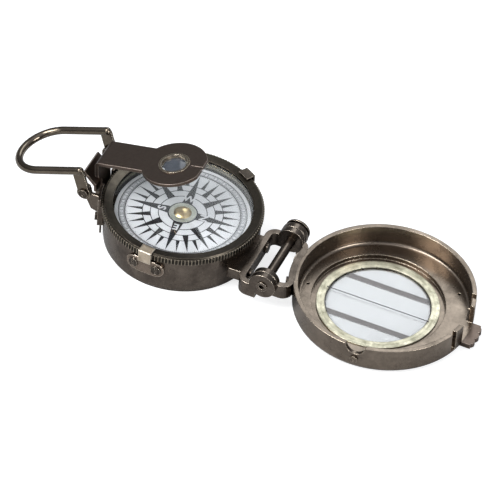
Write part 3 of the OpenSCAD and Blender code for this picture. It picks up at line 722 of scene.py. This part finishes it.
class Mesh:
    """A mesh in the making, in millimetres, that becomes one piece.

    Attributes:
        WELD: Distance within which two vertices are one.
        SMOOTH: Angle under which edges are shaded smooth, in degrees.
        TYPE_STEPS: Steps in each curve of a letter.
    """

    WELD = 0.0005
    SMOOTH = 30.0
    TYPE_STEPS = 3

    def __init__(self) -> None:
        """Starts empty."""
        self.bm = bmesh.new()

    def _face_out(self, before: set[bmesh.types.BMFace]) -> None:
        """Turns the faces made since then outwards."""
        faces = [f for f in self.bm.faces if f not in before]
        bmesh.ops.recalc_face_normals(self.bm, faces=faces)

    def profile_spin(self, points: list[tuple[float, float]], steps: int) -> None:
        """Revolves an open profile about the upright axis.

        Args:
            points: (radius, height) pairs from one end to the other.
            steps: Number of steps round.
        """
        bm = self.bm
        before = set(bm.faces)
        verts = [bm.verts.new((r, 0.0, z)) for r, z in points]
        edges = [bm.edges.new(pair) for pair in zip(verts, verts[1:])]
        bmesh.ops.spin(
            bm,
            geom=verts + edges,
            cent=(0, 0, 0),
            axis=(0, 0, 1),
            angle=math.tau,
            steps=steps,
            use_merge=True,
            use_duplicate=False,
        )
        bmesh.ops.remove_doubles(bm, verts=bm.verts[:], dist=self.WELD)
        self._face_out(before)

    def flat(
        self, outline: list[tuple[float, float]], low: float, high: float
    ) -> None:
        """Raises a flat outline into a thin plate.

        Args:
            outline: Corners in order.
            low: Height of the underside.
            high: Height of the top.
        """
        bm = self.bm
        before = set(bm.faces)
        face = bm.faces.new([bm.verts.new((x, y, low)) for x, y in outline])
        up = bmesh.ops.extrude_face_region(bm, geom=[face])
        top = [v for v in up["geom"] if isinstance(v, bmesh.types.BMVert)]
        bmesh.ops.translate(bm, verts=top, vec=(0, 0, high - low))
        self._face_out(before)

    def words(
        self, text: str, size: float, at: Point, turn: float, thick: float, bold: float
    ) -> None:
        """Adds plain letters or figures, lying flat.

        Args:
            text: What is written.
            size: Size of the type.
            at: Middle of the words, at their underside.
            turn: Angle of the words, in radians.
            thick: Thickness of the letters.
            bold: How far the strokes are thickened.
        """
        curve = bpy.data.curves.new("words", "FONT")
        curve.body = text
        curve.size = size
        curve.align_x = "CENTER"
        curve.align_y = "CENTER"
        curve.extrude = thick / 2
        curve.offset = bold
        curve.resolution_u = self.TYPE_STEPS
        words = bpy.data.objects.new("words", curve)
        data = bpy.data.meshes.new_from_object(words)
        lift = Vector((0, 0, thick / 2))
        data.transform(
            Matrix.Translation(Vector(at) + lift) @ Matrix.Rotation(turn, 4, "Z")
        )
        self.bm.from_mesh(data)
        bpy.data.objects.remove(words)
        bpy.data.meshes.remove(data)

    def piece(self, name: str, body: str, slot: str, finish: Finish) -> None:
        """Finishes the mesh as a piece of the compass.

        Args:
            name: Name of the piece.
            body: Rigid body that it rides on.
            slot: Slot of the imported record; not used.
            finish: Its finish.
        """
        bmesh.ops.scale(self.bm, vec=(MM, MM, MM), verts=self.bm.verts[:])
        data = bpy.data.meshes.new(name)
        self.bm.to_mesh(data)
        self.bm.free()
        for poly in data.polygons:
            poly.use_smooth = True
        data.set_sharp_from_angle(angle=math.radians(self.SMOOTH))
        obj = bpy.data.objects.new(name, data)
        bpy.context.scene.collection.objects.link(obj)
        dress(obj, finish)
        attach(obj, body)
        LOG.info("%s rides on %s with %d faces", name, body, len(data.polygons))


# Dial


@dataclass(frozen=True)
class DialPrint:
    """The printed rose, letters and degree ring of the card, in millimetres.

    Attributes:
        body: Rigid body that the print turns with.
        slot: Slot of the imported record.
        top: Height of the card's face.
        turn: How far the card has swung from the case's own line, in degrees.
        thick: Thickness of one layer of print.
        ring_steps: Steps round each ring.
        points: Number of points of the rose.
        foot: Radius at which the four main points start.
        tip: Radius of the tips of the points.
        point_halves: Half the width of a point at its foot, by rank.
        tip_half: Half the width of a point at its tip.
        circles: Radii of the fine circles, where the lesser points start.
        line: Width of the fine circles.
        hub_ring: How far inside the foot the ring round the hub starts and ends.
        letters: The four letters, clockwise from north.
        letter_r: Radius of the middles of the letters.
        letter_type: Size of the letters and how far their strokes are thickened.
        band: Inner and outer radius of the tinted degree band.
        inner_rim: Width of the dark circle inside the band.
        outer_rim: Radius that the dark circle outside the band reaches to.
        ticks: Number of ticks of the degree ring.
        long_tick: Every so many ticks there is a long one.
        tick_starts: Radii at which a long and a short tick start.
        tick_half: Half the width of a tick.
        figures_n: Number of figures round the band.
        figure_type: Size of the figures and how far their strokes are thickened.
        block: Half the length and half the width of the blocks between figures.
    """

    body: str = "dial"
    slot: str = "printed_card"
    top: float = 12.2
    turn: float = 6.0
    thick: float = 0.03
    ring_steps: int = 144
    points: int = 32
    foot: float = 5.6
    tip: float = 20.3
    point_halves: tuple[float, ...] = (1.9, 1.45, 1.1, 0.72)
    tip_half: float = 0.05
    circles: tuple[float, ...] = (8.8, 11.7, 14.6)
    line: float = 0.3
    hub_ring: Span = (0.55, 0.1)
    letters: str = "NESW"
    letter_r: float = 7.7
    letter_type: Span = (4.2, 0.11)
    band: Span = (21.0, 23.1)
    inner_rim: float = 0.3
    outer_rim: float = 23.35
    ticks: int = 180
    long_tick: int = 5
    tick_starts: Span = (19.9, 20.3)
    tick_half: float = 0.06
    figures_n: int = 36
    figure_type: Span = (1.5, 0.03)
    block: Span = (0.5, 0.4)

    def _at(self, radius: float, angle: float) -> Span:
        """A point of the card, the angle in degrees from north, clockwise."""
        a = math.radians(self.turn - angle)
        return radius * math.cos(a), radius * math.sin(a)

    def _ring(self, mesh: Mesh, inner: float, outer: float) -> None:
        """A thin printed ring."""
        low, high = self.top, self.top + self.thick
        mesh.profile_spin(
            [(inner, low), (inner, high), (outer, high), (outer, low)],
            self.ring_steps,
        )

    def _mark(
        self, mesh: Mesh, angle: float, radii: Span, halves: Span, layer: int = 0
    ) -> None:
        """One straight mark along a radius.

        Args:
            mesh: Mesh that it is added to.
            angle: Its bearing.
            radii: Where it starts and ends.
            halves: Half its width at the start and at the end.
            layer: Layer of print that it lies in.
        """
        sweeps = [math.degrees(half / r) for half, r in zip(halves, radii)]
        outline = [
            self._at(radii[0], angle - sweeps[0]),
            self._at(radii[1], angle - sweeps[1]),
            self._at(radii[1], angle + sweeps[1]),
            self._at(radii[0], angle + sweeps[0]),
        ]
        low = self.top + layer * self.thick
        mesh.flat(outline, low, low + self.thick)

    def _write(
        self, mesh: Mesh, text: str, angle: float, radius: float, face: Span
    ) -> None:
        """Writes one word on the second layer of print, its top outwards.

        Args:
            mesh: Mesh that it is added to.
            text: What is written.
            angle: Its bearing.
            radius: Radius of its middle.
            face: Size of the type and how far its strokes are thickened.
        """
        x, y = self._at(radius, angle)
        turn = math.radians(self.turn - angle - 90)
        at = (x, y, self.top + self.thick)
        mesh.words(text, face[0], at, turn, self.thick, face[1])

    def rose(self) -> Mesh:
        """The points of the rose, in four ranks, and the fine circles."""
        mesh = Mesh()
        feet = (self.foot, *self.circles)
        for i in range(self.points):
            rank = sum(i % every != 0 for every in (8, 4, 2))
            radii = (feet[rank], self.tip)
            halves = (self.point_halves[rank], self.tip_half)
            self._mark(mesh, i * 360 / self.points, radii, halves)
        for radius in self.circles:
            self._ring(mesh, radius - self.line / 2, radius + self.line / 2)
        inner, outer = self.hub_ring
        self._ring(mesh, self.foot - inner, self.foot - outer)
        return mesh

    def degree_lines(self) -> Mesh:
        """The dark circles of the degree ring and a tick for each two degrees."""
        mesh = Mesh()
        inner = self.band[0] - self.inner_rim
        self._ring(mesh, inner, self.band[0])
        self._ring(mesh, self.band[1], self.outer_rim)
        for i in range(self.ticks):
            start = self.tick_starts[0 if i % self.long_tick == 0 else 1]
            halves = (self.tick_half, self.tick_half)
            self._mark(mesh, i * 360 / self.ticks, (start, inner), halves)
        return mesh

    def degree_band(self) -> Mesh:
        """The tinted band that carries the figures."""
        mesh = Mesh()
        self._ring(mesh, *self.band)
        return mesh

    def figures(self) -> Mesh:
        """The pale letters, the bearings round the band, and blocks between them."""
        mesh = Mesh()
        for i, letter in enumerate(self.letters):
            self._write(mesh, letter, i * 90, self.letter_r, self.letter_type)
        middle = sum(self.band) / 2
        step = 360 // self.figures_n
        length, width = self.block
        for i in range(self.figures_n):
            self._write(mesh, str(i * step), i * step, middle, self.figure_type)
            radii = (middle - length, middle + length)
            self._mark(mesh, (i + 0.5) * step, radii, (width, width), layer=1)
        return mesh

    def build(self) -> None:
        """Builds the print as pieces that turn with the card."""
        for name, mesh, finish in (
            ("card_rose", self.rose(), Finish.INK),
            ("card_degrees", self.degree_lines(), Finish.INK),
            ("card_band", self.degree_band(), Finish.BAND),
            ("card_figures", self.figures(), Finish.CARD),
        ):
            mesh.piece(name, self.body, self.slot, finish)


# Stage


@dataclass(frozen=True)
class SoftBox:
    """One soft rectangular light.

    Attributes:
        name: Name of the light.
        place: Where it stands, in metres.
        size: Width and height, in metres.
        power: Watts.
    """

    name: str
    place: Point
    size: Span
    power: float

    def build(self, target: Point) -> None:
        """Makes the light and points it at the target, in metres."""
        data = bpy.data.lights.new(self.name, "AREA")
        data.shape = "RECTANGLE"
        data.size, data.size_y = self.size
        data.energy = self.power
        light = bpy.data.objects.new(self.name, data)
        light.location = self.place
        light.rotation_mode = "QUATERNION"
        aim = Vector(target) - Vector(self.place)
        light.rotation_quaternion = aim.to_track_quat("-Z", "Y")
        bpy.context.scene.collection.objects.link(light)


@dataclass(frozen=True)
class Studio:
    """Camera, floor and light, as in a pale product studio.

    Attributes:
        azimuth: Camera azimuth, in degrees; 0 looks along +Y.
        elevation: Camera height above the horizon, in degrees.
        roll: Turn of the camera about its own axis, in degrees.
        distance: Distance from the aim, in metres.
        aim: Point in the middle of the picture, in millimetres.
        picture: Width of the picture that the scale is measured in, in pixels.
        per_pixel: Pixels to a millimetre at the aim, in that picture.
        sensor: Width of the camera's sensor, in millimetres.
        clip: Nearest and farthest that the camera sees, in metres.
        floor_half: Half the floor's side, in metres.
        floor_colour: Colour of the floor.
        floor_rough: Roughness of the floor.
        floor_glow: Light that lifts the floor towards white in the picture.
        panel: Middle of the panel that the glass mirrors, in millimetres.
        panel_half: Half the panel's side, in metres.
        panel_colour: Colour of its light.
        panel_fade: Where its light starts and is full, in metres across it.
        panel_light: Its brightness at either side.
        room_colour: Colour of the light of the room.
        room_fade: Heights between which the room brightens, from -1 to 1.
        room_light: Its brightness below and above them.
        room_seen: Brightness of the room in the picture itself.
        lit: Point that the soft boxes light, in metres.
        boxes: The soft boxes.
    """

    azimuth: float = -19.85
    elevation: float = 43.55
    roll: float = 5.26
    distance: float = 2.0
    aim: Point = (27.55, -1.83, 8.0)
    picture: int = 500
    per_pixel: float = 2.789
    sensor: float = 36.0
    clip: Span = (0.05, 20.0)
    floor_half: float = 3.0
    floor_colour: Colour = (0.45, 0.455, 0.46)
    floor_rough: float = 0.9
    floor_glow: float = 0.75
    panel: Point = (-300.0, 820.0, 840.0)
    panel_half: float = 0.5
    panel_colour: Colour = (0.93, 0.97, 1.0)
    panel_fade: Span = (0.04, -0.08)
    panel_light: Span = (0.25, 2.6)
    room_colour: Colour = (0.92, 0.94, 1.0)
    room_fade: Span = (0.15, 0.9)
    room_light: Span = (0.12, 0.6)
    room_seen: float = 1.1
    lit: Point = (0.03, 0.0, 0.0)
    boxes: tuple[SoftBox, ...] = (
        SoftBox("key", (-0.5, -0.5, 1.1), (0.7, 0.7), 16.0),
        SoftBox("side", (1.1, -0.4, 0.6), (0.5, 0.5), 7.0),
        SoftBox("strip", (-0.2, -1.0, 0.35), (0.9, 0.14), 1.6),
    )

    def camera(self) -> None:
        """Makes the camera the scene's own."""
        az, el, roll = (
            math.radians(v) for v in (self.azimuth, self.elevation, self.roll)
        )
        forward = Vector(
            (math.sin(az) * math.cos(el), math.cos(az) * math.cos(el), -math.sin(el))
        )
        right = Vector((math.cos(az), -math.sin(az), 0.0))
        up = right.cross(forward)
        across = right * math.cos(roll) + up * math.sin(roll)
        over = up * math.cos(roll) - right * math.sin(roll)
        data = bpy.data.cameras.new("camera")
        width = self.picture / self.per_pixel * MM
        data.sensor_width = self.sensor
        data.lens = self.sensor * self.distance / width
        data.clip_start, data.clip_end = self.clip
        cam = bpy.data.objects.new("camera", data)
        turn = Matrix((across, over, -forward)).transposed().to_4x4()
        cam.matrix_world = (
            Matrix.Translation(mm(*self.aim) - forward * self.distance) @ turn
        )
        bpy.context.scene.collection.objects.link(cam)
        bpy.context.scene.camera = cam

    def _sheet(
        self, name: str, paint: str, half: float
    ) -> tuple[bpy.types.Object, Nodes]:
        """A flat square sheet with a material of its own.

        Args:
            name: Name of the sheet.
            paint: Name of its material.
            half: Half its side, in metres.

        Returns:
            The object and the nodes of its material.
        """
        bm = bmesh.new()
        bmesh.ops.create_grid(bm, x_segments=1, y_segments=1, size=half)
        data = bpy.data.meshes.new(name)
        bm.to_mesh(data)
        bm.free()
        mat = bpy.data.materials.new(paint)
        mat.use_nodes = True
        data.materials.append(mat)
        obj = bpy.data.objects.new(name, data)
        bpy.context.scene.collection.objects.link(obj)
        return obj, Nodes(mat.node_tree)

    def floor(self) -> None:
        """A plain pale floor."""
        obj, n = self._sheet("floor", "floor", self.floor_half)
        shader = n.shader(
            Base_Color=(*self.floor_colour, 1.0),
            Roughness=self.floor_rough,
            Emission_Color=(1.0, 1.0, 1.0, 1.0),
        )
        path = n.add("ShaderNodeLightPath")
        glow = n.math("MULTIPLY", (path, "Is Camera Ray"), self.floor_glow)
        n.link(glow, shader, "Emission Strength")

    def reflector(self) -> None:
        """A panel of light that only glass and metal see, brighter to one side."""
        obj, n = self._sheet("reflector", "panel light", self.panel_half)
        place = mm(*self.panel)
        facing = (place - mm(*self.aim)).to_track_quat("Z", "Y")
        obj.matrix_world = Matrix.Translation(place) @ facing.to_matrix().to_4x4()
        obj.visible_camera = False
        shader = n.shader(
            Base_Color=(0.0, 0.0, 0.0, 1.0),
            Roughness=1.0,
            Specular_IOR_Level=0.0,
            Emission_Color=(*self.panel_colour, 1.0),
        )
        across = (n.split(n.place()), "X")
        ramp = n.remap(across, self.panel_fade, self.panel_light)
        n.link(ramp, shader, "Emission Strength")

    def room(self) -> None:
        """A pale room, white in the picture and brighter above in reflections."""
        world = bpy.data.worlds.new("room")
        world.use_nodes = True
        n = Nodes(world.node_tree)
        back = n.fill(
            world.node_tree.nodes["Background"], {"Color": (*self.room_colour, 1.0)}
        )
        height = (n.split((n.add("ShaderNodeTexCoord"), "Generated")), "Z")
        ramp = n.remap(height, self.room_fade, self.room_light)
        path = n.add("ShaderNodeLightPath")
        seen = n.math("MULTIPLY", (path, "Is Camera Ray"), self.room_seen)
        n.link(n.math("MAXIMUM", ramp, seen), back, "Strength")
        bpy.context.scene.world = world

    def build(self) -> None:
        """Builds the whole stage."""
        self.camera()
        self.floor()
        self.room()
        for box in self.boxes:
            box.build(self.lit)
        self.reflector()
        bpy.context.scene.view_settings.view_transform = "Standard"


NODE_FINISH = {
    Finish.CASE: (
        "case_shell base_cover pivot_post hinge_bracket "
        "hinge_collar hinge_knob hinge_pin rear_bracket lid_bracket"
    ),
    Finish.WIRE: "thumb_loop",
    Finish.ARM: "eyepiece_arm arm_grip lid_tab",
    Finish.LID: "lid_shell notch_stud",
    Finish.BEZEL: "bezel_ring",
    Finish.LINER: "inner_liner crystal_seat",
    Finish.PALE: "window_ring",
    Finish.WASHER: "card_washer",
    Finish.RIM: "lens_ring",
    Finish.BRIGHT: "card_cap",
    Finish.CLIP: "near_clip",
    Finish.TAB: "near_clip_tab",
    Finish.FITTING: (
        "near_clip_screws far_clip_screws hinge_screws rear_screws leaf_spring "
        "arm_pin loop_rivets lid_screws card_hub card_magnets "
        # The far clip and its tab take the dark finish as painted shade; the near clip
        # is the same part, lit.
        "far_clip far_clip_tab"
    ),
    Finish.BAR: "guard_bars",
    Finish.THREAD: "hair_wire",
    Finish.CARD: "card",
    Finish.GLASS: "crystal",
    Finish.WINDOW: "window_glass",
    Finish.LENS: "lens",
}


def dress_nodes() -> None:
    """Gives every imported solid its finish."""
    for finish, names in NODE_FINISH.items():
        for name in names.split():
            dress(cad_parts[name], finish)


def main() -> None:
    """Builds the stage, dresses the solids and adds the pieces."""
    logging.basicConfig(level=logging.INFO, format="%(message)s")
    Studio().build()
    dress_nodes()
    DialPrint().build()


if __name__ == "__main__":
    main()
